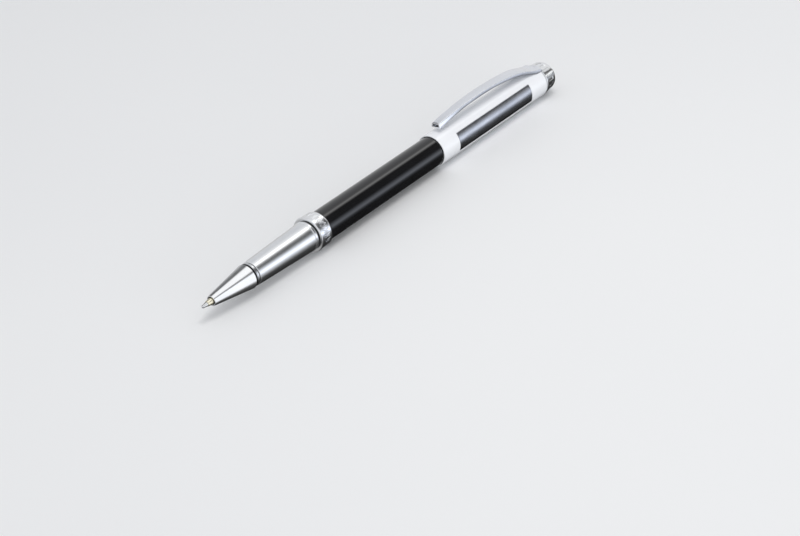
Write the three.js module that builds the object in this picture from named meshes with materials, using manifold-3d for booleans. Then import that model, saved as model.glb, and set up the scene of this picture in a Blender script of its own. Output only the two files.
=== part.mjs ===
// Capped rollerball pen lying on its side, with the cap posted on the tail of the barrel and the clip on top.
// Millimetres. +X runs from the writing tip to the cap's finial, +Z is up through the clip.
// The origin is under the middle of the pen, on the surface that it lies on.
//
// Every piece is described by stations along the pen, measured from the writing tip, and radii from its axis.

import * as THREE from 'three';
import { mergeVertices } from 'three/addons/utils/BufferGeometryUtils.js';
import Module from 'manifold-3d';

const wasm = await Module();
wasm.setup();

// ---------------------------------------------------------------- driving dimensions

const overallLength = 156.1;        // tip to finial with the cap posted
const facets = 24;                  // flats round the larger turned pieces
const smallFacets = 16;             // flats round the fine pieces of the refill
const fit = 0.02;                   // radial gap of pieces pressed together
const endGap = 0.05;                // gap between faces that rest on each other

// refill, 110.5 mm long and 6 mm across
const ballRadius = 0.35;
const pointRim = 0.22;              // the socket's rim, in front of the ball's middle
const pointEnd = 1.8;
const pointShankRear = 6.0;
const pointShankRadius = 0.55;
const inkChannelRadius = 0.15;
const nibEnd = 3.6;
const nibRadius = 1.05;
const nibShoulder = 9.0;
const nibShankRear = 14.0;
const nibShankRadius = 0.9;
const nibBore = 0.6;
const wickRadius = 0.5;
const wickRear = 31.5;
const refillShoulder = 24.05;
const refillRadius = 3.0;
const refillTubeFront = 24.65;
const refillTubeRear = 109.5;
const refillTubeBore = 2.72;
const frontSpigotRear = 28.5;
const rearSpigotFront = 106.0;
const reservoirRadius = 2.6;
const refillEnd = 110.5;

// grip section
const noseRadius = 1.52;
const noseBore = 1.2;
const noseRear = 17.7;
const noseRearRadius = 3.62;
const noseTrimFront = 18.15;
const noseTrimRadius = 3.5;
const noseSpigotRadius = 3.0;
const noseSpigotRear = 24.0;
const gripFront = 19.3;
const gripFrontRadius = 3.58;
const gripRear = 42.3;
const gripRearRadius = 4.4;
const gripBeadRadius = 4.5;
const gripBore = 3.15;
const couplingFront = 33.1;
const couplingRear = 49.0;
const couplingBore = 3.12;
const couplingSpigotRadius = 3.78;
const washerFront = 42.35;
const washerRear = 42.65;
const washerRadius = 4.4;
const washerBore = 3.55;

// screw joint between the grip section and the barrel
const pitch = 0.75;
const threadTurns = 6;
const threadFront = 43.0;
const maleRoot = 3.42;
const maleCrest = 3.72;
const maleRootHalfWidth = 0.2;
const maleCrestHalfWidth = 0.1;
const threadClearance = 0.08;

// centre ring and barrel
const ringFront = 42.7;
const ringRear = 47.5;
const ringRimRadius = 5.32;
const ringBandRadius = 5.15;
const ringRearRadius = 4.8;
const ringRimWidth = 0.6;
const ringBevel = 0.7;
const barrelRadius = 4.57;
const barrelBore = 4.15;
const barrelRear = 111.3;
const bushFront = 42.75;
const bushRear = 55.0;
const bushRelief = 3.6;
const tailPlugFront = 106.0;
const tailPlugRear = 117.5;
const tailRadius = 4.08;
const tailRounding = 0.8;
const springPocketFront = 112.2;
const springPocketRadius = 2.45;
const springSeat = 116.0;
const springRadius = 2.0;
const springWire = 0.4;
const springTurns = 5;

// cap
const capLip = 98.15;
const capRear = 149.9;
const capRadius = 5.03;
const capBore = 4.66;
const capRounding = 0.55;
const capEndHole = 3.2;
const linerFront = 111.6;
const linerRear = 142.5;
const linerBore = 4.2;
const frictionRingFront = 113.4;
const frictionRingRear = 114.6;
const frictionRingRadius = 4.38;
const frictionRingBore = 4.12;
const frictionRingGroove = 4.45;
const endPlugFront = 142.6;
const endPlugRear = 149.35;
const studFront = 144.5;
const studRear = 155.0;
const studRadius = 1.25;

// inlaid panels, one on each side of the cap
const panelFront = 105.7;
const panelRear = 141.7;
const panelFloor = 4.8;
const panelGap = 0.08;
const panelStartAngle = 48.5;       // degrees round from the clip
const panelEndAngle = 115.5;

// clip
const clipFree = 101.2;
const clipRoot = 149.85;
const clipPlate = 0.38;             // thickness of the top plate and of each side wall
const clipFreeDepth = 1.45;         // height of the side walls at the free end
const clipDepth = 1.0;              // over the panels
const clipRootDepth = 1.2;          // and where the root goes down into the cap
const clipRootFront = 134.0;
const clipFreeHalfWidth = 1.2;      // half of the width across the top
const clipCrownHalfWidth = 1.62;
const clipRootHalfWidth = 2.95;
const clipLean = 0.14;              // how far each side wall leans outwards over the panels
const clipFreeLean = 0.38;          // and at the free end
const clipLeanFront = 114.2;        // the lean settles at this station
const clipCrown = 118.0;            // the clip widens up to this station
const clipFlareFront = 122.0;       // and flares from this one towards the cap's end
const clipFlarePower = 1.8;
const clipChannelRear = 144.0;
const clipLipThickness = 0.3;
const clipNotchFront = 143.0;
const clipNotchFloor = 3.98;
const clipNotchGap = 0.05;
const clipSeatGap = 0.12;           // under the clip's root
const clipSteps = 24;
const clipFootDrop = 0.5;           // the line comes down early to a flatter foot
const clipFootFront = 140.0;
const clipFootLow = 147.0;
const clipFootRear = 150.5;
const clipPadStation = 103.9;
const clipPadBottom = 5.15;
const clipPadLength = 2.7;
const clipRingFront = 149.95;
const clipRingRear = 150.65;
const clipRingRadius = 4.3;
const clipEarTop = 5.0;

// finial
const finialFront = 149.98;
const finialStep = 154.3;
const finialBaseRadius = 5.0;
const finialStepRadius = 4.5;
const finialDomeRadius = 4.4;
const finialFlatRadius = 1.8;

const axisHeight = ringRimRadius * Math.cos(Math.PI / facets);

// ---------------------------------------------------------------- shape helpers

// A turned piece: its outline is given as [station, radius] pairs, and it is revolved about the pen's axis.
// One flat of the polygon faces straight down, so the piece can lie on it. The outer side runs rearwards.
function turned(outline, sides = facets) {
  const profile = outline.map(([station, radius]) => new THREE.Vector2(radius, station));
  const geometry = new THREE.LatheGeometry(profile, sides, Math.PI / sides);
  geometry.rotateZ(-Math.PI / 2);
  return geometry;
}

// A hollow turned piece, whose outline closes on itself.
function turnedRing(outline, sides = facets) {
  return turned([...outline, outline[0]], sides);
}

// A solid turned piece, closed at both ends by faces that reach the axis.
function turnedSolid(outline, sides = facets) {
  const front = outline[0][0];
  const rear = outline[outline.length - 1][0];
  return turned([[front, 0], ...outline, [rear, 0]], sides);
}

// Arc of an outline between two angles in degrees, about a centre given as station and radius.
function arc(station, radius, size, startAngle, endAngle, steps) {
  const points = [];
  for (let i = 0; i <= steps; i += 1) {
    const angle = THREE.MathUtils.degToRad(THREE.MathUtils.lerp(startAngle, endAngle, i / steps));
    points.push([station + size * Math.cos(angle), radius + size * Math.sin(angle)]);
  }
  return points;
}

// A closed solid for joining and cutting, made from a geometry whose shared corners are merged.
function toManifold(geometry) {
  const plain = geometry.clone();
  plain.deleteAttribute('normal');
  plain.deleteAttribute('uv');
  const merged = mergeVertices(plain, 1e-5);
  const corners = merged.index.array;
  const kept = [];
  for (let i = 0; i < corners.length; i += 3) {
    const [a, b, c] = [corners[i], corners[i + 1], corners[i + 2]];
    if (a !== b && b !== c && c !== a) {
      kept.push(a, b, c);
    }
  }
  return new wasm.Manifold(new wasm.Mesh({
    numProp: 3,
    vertProperties: new Float32Array(merged.attributes.position.array),
    triVerts: new Uint32Array(kept),
  }));
}

function toGeometry(solid) {
  const mesh = solid.getMesh();
  const geometry = new THREE.BufferGeometry();
  geometry.setAttribute('position', new THREE.BufferAttribute(new Float32Array(mesh.vertProperties), 3));
  geometry.setIndex(new THREE.BufferAttribute(new Uint32Array(mesh.triVerts), 1));
  geometry.computeVertexNormals();
  return geometry;
}

// A box given by its limits along X, Y and Z.
function slab([x0, x1], [y0, y1], [z0, z1]) {
  const box = new THREE.BoxGeometry(x1 - x0, y1 - y0, z1 - z0);
  box.translate((x0 + x1) / 2, (y0 + y1) / 2, (z0 + z1) / 2);
  return toManifold(box);
}

// A straight-sided bar along the pen. Each section is given as [station, low, high, half width below, half
// width above], with heights above the axis.
function bar(sections) {
  const positions = [];
  for (const [station, low, high, below, above] of sections) {
    positions.push(station, -below, low, station, below, low, station, above, high, station, -above, high);
  }
  const index = [0, 2, 1, 0, 3, 2];
  for (let i = 0; i < sections.length - 1; i += 1) {
    for (let corner = 0; corner < 4; corner += 1) {
      const a = 4 * i + corner;
      const b = 4 * i + ((corner + 1) % 4);
      index.push(a, b, b + 4, a, b + 4, a + 4);
    }
  }
  const last = 4 * (sections.length - 1);
  index.push(last, last + 1, last + 2, last, last + 2, last + 3);
  const geometry = new THREE.BufferGeometry();
  geometry.setAttribute('position', new THREE.BufferAttribute(new Float32Array(positions), 3));
  geometry.setIndex(index);
  return toManifold(geometry);
}

// A wedge about the pen's axis between two angles, in degrees round from straight up towards one side.
function wedge(front, rear, startAngle, endAngle, side) {
  const reach = 2 * capRadius;
  const corners = [new THREE.Vector2(0, 0)];
  for (const degrees of [startAngle, (startAngle + endAngle) / 2, endAngle]) {
    const angle = THREE.MathUtils.degToRad(degrees);
    corners.push(new THREE.Vector2(side * reach * Math.sin(angle), reach * Math.cos(angle)));
  }
  const shape = new THREE.Shape(corners);
  const geometry = new THREE.ExtrudeGeometry(shape, { depth: rear - front, bevelEnabled: false });
  geometry.applyMatrix4(new THREE.Matrix4().makeBasis(
    new THREE.Vector3(0, 1, 0),
    new THREE.Vector3(0, 0, 1),
    new THREE.Vector3(1, 0, 0),
  ));
  geometry.translate(front, 0, 0);
  return toManifold(geometry);
}

// A right-handed screw rod about the pen's axis, long enough to run out of both ends of the threads. One
// pitch of its surface is a flank, a crest, a flank and a root, and the surface is sheared along the axis by
// one pitch for each turn.
function screwRod(rootRadius, crestRadius, rootHalfWidth, crestHalfWidth) {
  const front = threadFront - 2 * pitch;
  const turns = threadTurns + 5;
  const profile = [
    [-rootHalfWidth, rootRadius],
    [-crestHalfWidth, crestRadius],
    [crestHalfWidth, crestRadius],
    [rootHalfWidth, rootRadius],
  ];
  const rows = turns * profile.length;
  const positions = [];
  for (let column = 0; column < facets; column += 1) {
    const angle = ((column + 0.5) * 2 * Math.PI) / facets;
    for (let row = 0; row <= rows; row += 1) {
      const [offset, radius] = profile[row % profile.length];
      const station = front + pitch * (Math.floor(row / profile.length) + column / facets) + offset;
      positions.push(station, radius * Math.cos(angle), radius * Math.sin(angle));
    }
  }
  const vertex = (column, row) => column * (rows + 1) + row;
  const frontCentre = positions.length / 3;
  const rearCentre = frontCentre + 1;
  positions.push(front - pitch, 0, 0);
  positions.push(front + pitch * (turns + 1), 0, 0);
  const index = [];
  const lastRow = rows - profile.length;
  for (let column = 0; column < facets; column += 1) {
    const wraps = column === facets - 1;
    const next = wraps ? 0 : column + 1;
    const shift = wraps ? profile.length : 0;
    for (let row = 0; row < lastRow; row += 1) {
      const a = vertex(column, row);
      const b = vertex(column, row + 1);
      const c = vertex(next, row + 1 + shift);
      const d = vertex(next, row + shift);
      index.push(a, d, c, a, c, b);
    }
    index.push(frontCentre, vertex(next, shift), vertex(column, 0));
    index.push(rearCentre, vertex(column, lastRow), vertex(next, lastRow + shift));
  }
  for (let row = 0; row < profile.length; row += 1) {
    index.push(frontCentre, vertex(0, row), vertex(0, row + 1));
    index.push(rearCentre, vertex(0, lastRow + row + 1), vertex(0, lastRow + row));
  }
  const geometry = new THREE.BufferGeometry();
  geometry.setAttribute('position', new THREE.BufferAttribute(new Float32Array(positions), 3));
  geometry.setIndex(index);
  return toManifold(geometry);
}

// ---------------------------------------------------------------- finishes: colour, roughness, metalness

const chrome = [0xd4d6d8, 0.12, 1.0];
const steel = [0xc2c4c6, 0.3, 1.0];
const brass = [0xc9a25a, 0.35, 1.0];
const blackLacquer = [0x0b0b0d, 0.12, 0.0];
const whiteLacquer = [0xf1f3f6, 0.2, 0.0];
const darkPlastic = [0x26272b, 0.5, 0.0];
const palePlastic = [0xdfe3e6, 0.35, 0.0];
const inkFibre = [0x1d2440, 0.95, 0.0];

const pen = new THREE.Group();
pen.position.set(-overallLength / 2, 0, axisHeight);

function add(name, geometry, [color, roughness, metalness]) {
  const mesh = new THREE.Mesh(geometry, new THREE.MeshStandardMaterial({ color, roughness, metalness }));
  mesh.name = name;
  pen.add(mesh);
}

// ---------------------------------------------------------------- refill

// The ball rolls in the point's socket, whose rim closes in past the ball's middle and holds it.
function writingBall() {
  const steps = 8;
  const outline = arc(ballRadius, 0, ballRadius, 180, 0, steps);
  outline[0][1] = 0;
  outline[steps][1] = 0;
  add('writing_ball', turned(outline, smallFacets), steel);
}

function refillPoint() {
  const outline = [
    [pointRim, 0.42],
    [pointEnd, 0.65],
    [pointEnd, pointShankRadius],
    [pointShankRear, pointShankRadius],
    [pointShankRear, inkChannelRadius],
    [2 * ballRadius + endGap, inkChannelRadius],
    [ballRadius + 0.2, 0.34],
    [ballRadius, ballRadius + 0.025],
    [pointRim, 0.335],
  ];
  add('refill_point', turnedRing(outline, smallFacets), steel);
}

function refillNibHolder() {
  const front = pointEnd + endGap;
  const outline = [
    [front, 0.74],
    [nibEnd, 1.0],
    [nibShoulder, nibRadius],
    [nibShoulder, nibShankRadius],
    [nibShankRear, nibShankRadius],
    [nibShankRear, nibBore],
    [front, nibBore],
  ];
  add('refill_nib_holder', turnedRing(outline, smallFacets), brass);
}

// The front plug tapers forward inside the nose cone, and its shoulder stops on the nose cone's spigot.
function refillFrontPlug() {
  const front = nibShoulder + endGap;
  const collarRear = refillTubeFront - endGap;
  const nibPocketRear = nibShankRear + 0.1;
  const outline = [
    [front, 1.25],
    [noseRear, 1.95],
    [refillShoulder, 2.2],
    [refillShoulder, refillRadius - 0.05],
    [collarRear, refillRadius],
    [collarRear, refillTubeBore - fit],
    [frontSpigotRear, refillTubeBore - fit],
    [frontSpigotRear, nibBore + fit],
    [nibPocketRear, nibBore + fit],
    [nibPocketRear, nibShankRadius + endGap],
    [front, nibShankRadius + endGap],
  ];
  add('refill_front_plug', turnedRing(outline), darkPlastic);
}

function refillWick() {
  const outline = [
    [pointShankRear + 0.1, wickRadius],
    [wickRear, wickRadius],
  ];
  add('refill_wick', turnedSolid(outline, smallFacets), inkFibre);
}

// The reservoir takes the wick in front, and is vented along its middle to the end plug.
function refillReservoir() {
  const front = frontSpigotRear + 0.1;
  const rear = rearSpigotFront - 0.2;
  const ventFront = wickRear + 0.2;
  const outline = [
    [front, reservoirRadius],
    [rear, reservoirRadius],
    [rear, 1.0],
    [ventFront, 1.0],
    [ventFront, wickRadius + 0.12],
    [front, wickRadius + 0.12],
  ];
  add('refill_ink_reservoir', turnedRing(outline), inkFibre);
}

function refillTube() {
  const outline = [
    [refillTubeFront, refillRadius],
    [refillTubeRear, refillRadius],
    [refillTubeRear, refillTubeBore],
    [refillTubeFront, refillTubeBore],
  ];
  add('refill_tube', turnedRing(outline), palePlastic);
}

function refillEndPlug() {
  const ventRadius = 0.4;
  const spigotRadius = refillTubeBore - fit;
  const headFront = refillTubeRear + endGap;
  const outline = [
    [rearSpigotFront, spigotRadius - 0.2],
    [rearSpigotFront + 0.3, spigotRadius],
    [headFront, spigotRadius],
    [headFront, refillRadius],
    [refillEnd - 0.3, refillRadius],
    [refillEnd, refillRadius - 0.25],
    [refillEnd, ventRadius],
    [rearSpigotFront, ventRadius],
  ];
  add('refill_end_plug', turnedRing(outline), darkPlastic);
}

class SpringLine extends THREE.Curve {
  getPoint(t) {
    const endMargin = springWire / 2 + endGap;
    const angle = 2 * Math.PI * springTurns * t;
    return new THREE.Vector3(
      THREE.MathUtils.lerp(refillEnd + endMargin, springSeat - endMargin, t),
      springRadius * Math.cos(angle),
      springRadius * Math.sin(angle),
    );
  }
}

function refillSpring() {
  const sides = 6;
  const stepsPerTurn = 14;
  const corners = [];
  for (let i = 0; i < sides; i += 1) {
    const angle = (2 * Math.PI * i) / sides;
    corners.push(new THREE.Vector2(Math.cos(angle), Math.sin(angle)).multiplyScalar(springWire / 2));
  }
  const geometry = new THREE.ExtrudeGeometry(new THREE.Shape(corners), {
    steps: springTurns * stepsPerTurn,
    extrudePath: new SpringLine(),
    bevelEnabled: false,
  });
  add('refill_spring', geometry, steel);
}

// ---------------------------------------------------------------- grip section

function noseCone() {
  const edge = 0.12;
  const outline = [
    [nibEnd, noseRadius],
    [noseRear - edge, noseRearRadius],
    [noseRear, noseRearRadius - edge],
    [noseRear, noseSpigotRadius],
    [noseSpigotRear, noseSpigotRadius],
    [noseSpigotRear, 2.4],
    [noseRear, 2.3],
    [12.0, 1.8],
    [nibShoulder, 1.42],
    [nibEnd, noseBore],
  ];
  add('nose_cone', turnedRing(outline), chrome);
}

function noseTrimRing() {
  const margin = 0.08;
  const front = noseTrimFront;
  const rear = gripFront - margin;
  const outline = [
    [front, noseTrimRadius - 0.15],
    [(front + rear) / 2, noseTrimRadius],
    [rear, noseTrimRadius - 0.1],
    [rear, noseSpigotRadius + fit],
    [front, noseSpigotRadius + fit],
  ];
  add('nose_trim_ring', turnedRing(outline), chrome);
}

// The grip tapers up to a raised bead, and is bored in steps for the nose cone, the refill and the coupling.
function gripShell() {
  const edge = 0.12;
  const beadFront = gripRear - 0.6;
  const couplingPocketFront = couplingFront - 0.1;
  const nosePocketRear = noseSpigotRear + 0.3;
  const outline = [
    [gripFront, gripFrontRadius - edge],
    [gripFront + edge, gripFrontRadius],
    [beadFront - 0.25, gripRearRadius],
    [beadFront, gripBeadRadius],
    [beadFront + 0.4, gripBeadRadius],
    [gripRear, gripRearRadius],
    [gripRear, couplingSpigotRadius + fit],
    [couplingPocketFront, couplingSpigotRadius + fit],
    [couplingPocketFront, gripBore],
    [nosePocketRear, gripBore],
    [nosePocketRear, noseSpigotRadius + fit],
    [gripFront, noseSpigotRadius + fit],
  ];
  add('grip_shell', turnedRing(outline), chrome);
}

// The coupling is pressed into the grip, and carries the male thread behind a plain neck.
function sectionCoupling() {
  const threadRear = threadFront + pitch * threadTurns;
  const spigotRear = gripRear - endGap;
  const neck = maleRoot - fit;
  const overThread = maleCrest + 1;
  const blank = toManifold(turnedRing([
    [couplingFront, couplingSpigotRadius],
    [spigotRear, couplingSpigotRadius],
    [spigotRear, neck],
    [threadFront, neck],
    [threadFront, overThread],
    [threadRear, overThread],
    [threadRear, neck],
    [couplingRear, neck - 0.1],
    [couplingRear, couplingBore],
    [couplingFront, couplingBore],
  ]));
  const across = [-gripRearRadius, gripRearRadius];
  const plainFront = slab([couplingFront - 1, threadFront - 0.1], across, across);
  const plainRear = slab([threadRear + 0.1, couplingRear + 1], across, across);
  const rod = screwRod(maleRoot, maleCrest, maleRootHalfWidth, maleCrestHalfWidth);
  const solid = blank.intersect(rod.add(plainFront).add(plainRear));
  add('section_coupling', toGeometry(solid), brass);
}

function sectionWasher() {
  const outline = [
    [washerFront, washerRadius],
    [washerRear, washerRadius],
    [washerRear, washerBore],
    [washerFront, washerBore],
  ];
  add('section_washer', turnedRing(outline), darkPlastic);
}

// ---------------------------------------------------------------- barrel

// The centre ring has a raised rim in front of its band, and is bevelled down to the barrel behind.
function centreRing() {
  const edge = 0.15;
  const frontRim = ringFront + ringRimWidth;
  const outline = [
    [ringFront, ringRimRadius - edge],
    [ringFront + edge, ringRimRadius],
    [frontRim, ringRimRadius],
    [frontRim, ringBandRadius],
    [ringRear - ringBevel, ringBandRadius],
    [ringRear - ringBevel / 3, ringBandRadius - edge],
    [ringRear, ringRearRadius],
    [ringRear, barrelBore],
    [ringFront, barrelBore],
  ];
  add('centre_ring', turnedRing(outline), chrome);
}

// The bush carries the centre ring and the barrel outside, and the female thread inside.
function barrelThreadBush() {
  const threadRear = threadFront + pitch * threadTurns + 0.5;
  const minorRadius = maleRoot + threadClearance;
  const blank = toManifold(turnedRing([
    [bushFront, barrelBore - fit],
    [bushRear, barrelBore - fit],
    [bushRear, bushRelief],
    [threadRear, bushRelief],
    [threadRear, minorRadius],
    [bushFront, minorRadius],
  ]));
  const tap = screwRod(
    maleRoot + threadClearance / 2,
    maleCrest + threadClearance,
    maleRootHalfWidth + 1.3 * threadClearance,
    maleCrestHalfWidth + threadClearance,
  );
  const reach = toManifold(turnedSolid([
    [bushFront - 1, maleCrest + 1],
    [threadRear, maleCrest + 1],
  ]));
  add('barrel_thread_bush', toGeometry(blank.subtract(tap.intersect(reach))), brass);
}

function barrelTube() {
  const front = ringRear + endGap;
  const outline = [
    [front, barrelRadius],
    [barrelRear - 0.4, barrelRadius],
    [barrelRear, barrelRadius - 0.25],
    [barrelRear, barrelBore],
    [front, barrelBore],
  ];
  add('barrel_tube', turnedRing(outline), blackLacquer);
}

// The tail plug is pressed into the barrel. It is bored for the refill and, deeper, for the refill's spring.
function tailPlug() {
  const outline = [
    [springSeat, 0],
    [springSeat, springPocketRadius],
    [springPocketFront, springPocketRadius],
    [springPocketFront, gripBore],
    [tailPlugFront, gripBore],
    [tailPlugFront, barrelBore - fit],
    [barrelRear - endGap, barrelBore - fit],
    [barrelRear, tailRadius],
    [tailPlugRear - tailRounding, tailRadius],
    [tailPlugRear, tailRadius - tailRounding],
    [tailPlugRear, 0],
  ];
  add('tail_plug', turned(outline), blackLacquer);
}

// ---------------------------------------------------------------- line of the clip

// Top line of the clip, as height above the pen's axis along the stations: it rises from the free end to a
// crown over the panels and comes down to the finial.
const clipLine = new THREE.CubicBezierCurve(
  new THREE.Vector2(clipFree, 7.8),
  new THREE.Vector2(116.8, 10.04),
  new THREE.Vector2(136.5, 9.99),
  new THREE.Vector2(clipRoot, 5.05),
);

// Half width across the clip's top at a station: it widens slowly to the crown, and flares towards the root.
function clipHalfWidth(station) {
  const widening = Math.min(1, (station - clipFree) / (clipCrown - clipFree));
  const plain = THREE.MathUtils.lerp(clipFreeHalfWidth, clipCrownHalfWidth, widening);
  const flare = Math.max(0, station - clipFlareFront) / (clipRoot - clipFlareFront);
  return plain + (clipRootHalfWidth - clipCrownHalfWidth) * flare ** clipFlarePower;
}

// The side walls lean outwards, most of all at the free end.
function clipLeanAt(station) {
  const settled = THREE.MathUtils.smoothstep(station, clipFree, clipLeanFront);
  return THREE.MathUtils.lerp(clipFreeLean, clipLean, settled);
}

// Stations of the clip, each with the height of its top there.
function clipPoints() {
  const { smoothstep } = THREE.MathUtils;
  return clipLine.getPoints(clipSteps).map(({ x: station, y }) => {
    const down = smoothstep(station, clipFootFront, clipFootLow);
    const up = smoothstep(station, clipFootLow, clipFootRear);
    return [station, y - clipFootDrop * down * (1 - up)];
  });
}

// The clip is deepest at its free end and at its root, which stays clear of the slot's floor.
function clipBottom(station, top) {
  const { smoothstep } = THREE.MathUtils;
  const nearFree = (clipFreeDepth - clipDepth) * (1 - smoothstep(station, clipFree, clipCrown));
  const nearRoot = (clipRootDepth - clipDepth) * smoothstep(station, clipRootFront, clipRingFront - 3);
  return Math.max(top - clipDepth - nearFree - nearRoot, clipNotchFloor + clipSeatGap);
}

// The slot that lets the clip's root down into the end of the cap, widened all round by a gap.
function clipNotch(gap) {
  const high = 3 * capRadius;
  const sections = [];
  for (const [station, top] of clipPoints()) {
    if (station > clipNotchFront) {
      const half = clipHalfWidth(station) + clipLeanAt(station) + clipNotchGap + gap;
      sections.push([station, clipBottom(station, top) - clipSeatGap - gap, high, half, half]);
    }
  }
  const [, floor, , half] = sections[sections.length - 1];
  sections.push([capRear + 1, floor, high, half, half]);
  return bar(sections);
}

// ---------------------------------------------------------------- cap

// The part of a sleeve that lies between the panel's edges, on one side of the cap, grown by a gap.
function panelSleeve(side, gap, floor, top) {
  const front = panelFront - gap;
  const rear = panelRear + gap;
  const sleeve = toManifold(turnedRing([
    [front, top],
    [rear, top],
    [rear, floor],
    [front, floor],
  ]));
  const turn = THREE.MathUtils.radToDeg(gap / capRadius);
  return sleeve.intersect(wedge(front - 1, rear + 1, panelStartAngle - turn, panelEndAngle + turn, side));
}

// The cap's tube has a rounded end, a slot there for the clip, and a shallow recess on each side for a panel.
function capShell() {
  const lipEdge = 0.12;
  const outline = [
    [capLip, capRadius - lipEdge],
    [capLip + lipEdge, capRadius],
    ...arc(capRear - capRounding, capRadius - capRounding, capRounding, 90, 0, 4),
    [capRear, capEndHole],
    [endPlugRear + endGap, capEndHole],
    [endPlugRear + endGap, capBore - 0.9],
    [endPlugRear - 0.7, capBore],
    [capLip, capBore],
  ];
  let solid = toManifold(turnedRing(outline)).subtract(clipNotch(0));
  for (const side of [-1, 1]) {
    solid = solid.subtract(panelSleeve(side, panelGap, panelFloor - fit, capRadius + 1));
  }
  add('cap_shell', toGeometry(solid), whiteLacquer);
}

function capPanels() {
  for (const [name, side] of [['cap_panel_right', -1], ['cap_panel_left', 1]]) {
    add(name, toGeometry(panelSleeve(side, 0, panelFloor, capRadius)), chrome);
  }
}

function capLiner() {
  const grooveFront = frictionRingFront - 0.1;
  const grooveRear = frictionRingRear + 0.1;
  const outline = [
    [linerFront, capBore - fit],
    [linerRear, capBore - fit],
    [linerRear, linerBore],
    [grooveRear, linerBore],
    [grooveRear, frictionRingGroove],
    [grooveFront, frictionRingGroove],
    [grooveFront, linerBore],
    [linerFront, linerBore],
  ];
  add('cap_liner', turnedRing(outline), darkPlastic);
}

// The friction ring is a split ring that grips the tail plug, or the grip when the cap covers the tip.
function capFrictionRing() {
  const halfSplit = 0.3;
  const ring = toManifold(turnedRing([
    [frictionRingFront, frictionRingRadius],
    [frictionRingRear, frictionRingRadius],
    [frictionRingRear, frictionRingBore],
    [frictionRingFront, frictionRingBore],
  ]));
  const split = slab(
    [frictionRingFront - 1, frictionRingRear + 1],
    [-halfSplit, halfSplit],
    [0, 2 * frictionRingRadius],
  );
  add('cap_friction_ring', toGeometry(ring.subtract(split)), steel);
}

function capEndPlug() {
  const radius = capBore - fit;
  const plug = toManifold(turnedRing([
    [endPlugFront, radius],
    [endPlugRear - 0.8, radius],
    [endPlugRear, radius - 0.9],
    [endPlugRear, studRadius + fit],
    [endPlugFront, studRadius + fit],
  ]));
  add('cap_end_plug', toGeometry(plug.subtract(clipNotch(endGap))), brass);
}

// ---------------------------------------------------------------- finial

function finialStud() {
  const chamfer = 0.2;
  const outline = [
    [studFront, studRadius - chamfer],
    [studFront + chamfer, studRadius],
    [studRear, studRadius],
  ];
  add('finial_stud', turnedSolid(outline), steel);
}

// The base's skirt covers the clip's ring, and has a slot for the ring's ear.
function finialBase() {
  const pocketRear = clipRingRear + endGap;
  const pocketRadius = clipRingRadius + endGap;
  const outline = [
    [finialFront, finialBaseRadius - 0.1],
    [finialFront + 0.15, finialBaseRadius],
    [finialStep, finialStepRadius],
    [finialStep, studRadius + fit],
    [pocketRear, studRadius + fit],
    [pocketRear, pocketRadius],
    [finialFront, pocketRadius],
  ];
  const slot = slab(
    [finialFront - 1, pocketRear],
    [-clipRootHalfWidth - endGap, clipRootHalfWidth + endGap],
    [0, 2 * finialBaseRadius],
  );
  add('finial_base', toGeometry(toManifold(turnedRing(outline)).subtract(slot)), chrome);
}

function finialDome() {
  const boreRear = studRear + 0.1;
  const domeFront = finialStep + endGap;
  const outline = [
    [boreRear, 0],
    [boreRear, studRadius + fit],
    [domeFront, studRadius + fit],
    [domeFront, finialDomeRadius],
    [154.9, 4.27],
    [155.4, 3.78],
    [155.8, 2.9],
    [overallLength, finialFlatRadius],
    [overallLength, 0],
  ];
  add('finial_dome', turned(outline), chrome);
}

// ---------------------------------------------------------------- clip

// The arm is a channel open towards the cap, with a lip under its free end, a solid root and a pad.
function clipArm() {
  const body = [];
  const hollow = [];
  for (const [station, top] of clipPoints()) {
    const bottom = clipBottom(station, top);
    const above = clipHalfWidth(station);
    const below = above + clipLeanAt(station);
    body.push([station, bottom, top, below, above]);
    if (station < clipChannelRear) {
      hollow.push([station, bottom - 1, top - clipPlate, below - clipPlate, above - clipPlate]);
    }
  }
  hollow[0][0] -= 1;
  const lip = body.slice(0, 2).map(([station, bottom, , below]) => {
    const half = below - clipPlate / 2;
    return [station, bottom, bottom + clipLipThickness, half, half];
  });
  const pad = new THREE.CylinderGeometry(0.75, 0.6, clipPadLength, 12);
  pad.rotateX(Math.PI / 2);
  pad.translate(clipPadStation, 0, clipPadBottom + clipPadLength / 2);
  const arm = bar(body).subtract(bar(hollow)).add(bar(lip)).add(toManifold(pad));
  add('clip_arm', toGeometry(arm), chrome);
}

// The clip's ring is clamped between the cap and the finial, and its ear carries the arm.
function clipRing() {
  const washer = toManifold(turnedRing([
    [clipRingFront, clipRingRadius],
    [clipRingRear, clipRingRadius],
    [clipRingRear, studRadius + fit],
    [clipRingFront, studRadius + fit],
  ]));
  const ear = slab(
    [clipRingFront, clipRingRear],
    [-clipRootHalfWidth, clipRootHalfWidth],
    [clipEarTop - 2.1, clipEarTop],
  );
  add('clip_ring', toGeometry(washer.add(ear)), chrome);
}

// ---------------------------------------------------------------- the assembly

writingBall();
refillPoint();
refillNibHolder();
refillFrontPlug();
refillWick();
refillReservoir();
refillTube();
refillEndPlug();
refillSpring();
noseCone();
noseTrimRing();
gripShell();
sectionCoupling();
sectionWasher();
centreRing();
barrelThreadBush();
barrelTube();
tailPlug();
capShell();
capPanels();
capLiner();
capFrictionRing();
capEndPlug();
finialStud();
finialBase();
finialDome();
clipArm();
clipRing();

export default pen;
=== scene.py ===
"""Looks of the rollerball pen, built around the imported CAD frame.

Stations run along the pen from the writing tip and radii from its axis, both in millimetres. Angles go round
the pen from straight up, through the clip, towards the camera's side (-Y). Objects are in metres.
"""

import math

import bmesh
import bpy
import numpy as np
from mathutils import Matrix, Vector


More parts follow.
